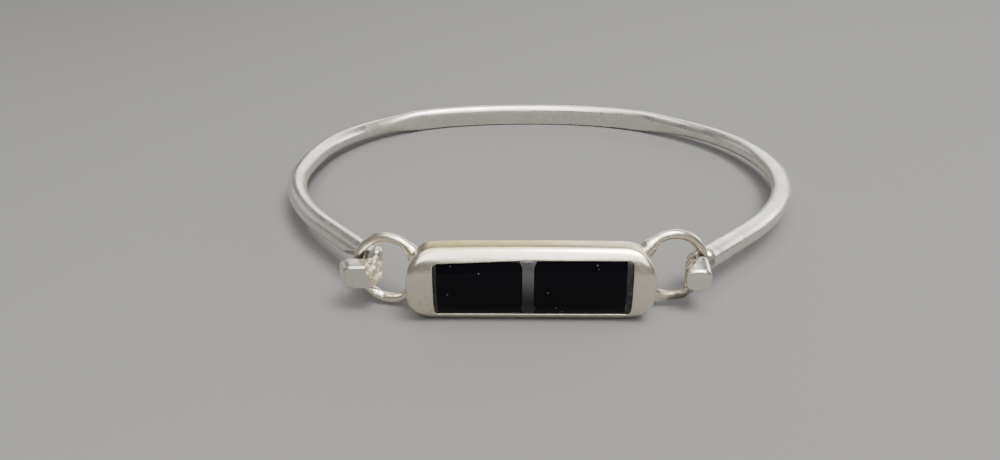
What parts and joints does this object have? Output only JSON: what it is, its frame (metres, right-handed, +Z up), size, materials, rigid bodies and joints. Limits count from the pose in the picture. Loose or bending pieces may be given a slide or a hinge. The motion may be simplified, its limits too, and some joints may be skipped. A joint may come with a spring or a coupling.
{
  "type": "bangle",
  "caption": "Oval wire bangle closed at the front by an upright bar set with black stones, with a ring at each end of the bar caught on a hooked end of the wire.",
  "frame": {"origin": "middle of the bangle's width and depth, on the surface that it lies on", "axes": "+Z up from that surface, -Y towards the stone-set bar, +X to the right as seen from the bar's front"},
  "size_m": [0.0674, 0.0624, 0.0085],
  "materials": {
    "hoop_silver": "silver worn to a satin, with fine scratches and small nicks",
    "bar_silver": "polished silver with a faint yellow tarnish",
    "onyx": "polished black onyx"
  },
  "bodies": {
    "root": {"hoop": "hoop_silver", "bar_setting": "bar_silver", "onyx_left": "onyx", "onyx_right": "onyx"}
  },
  "joints": []
}
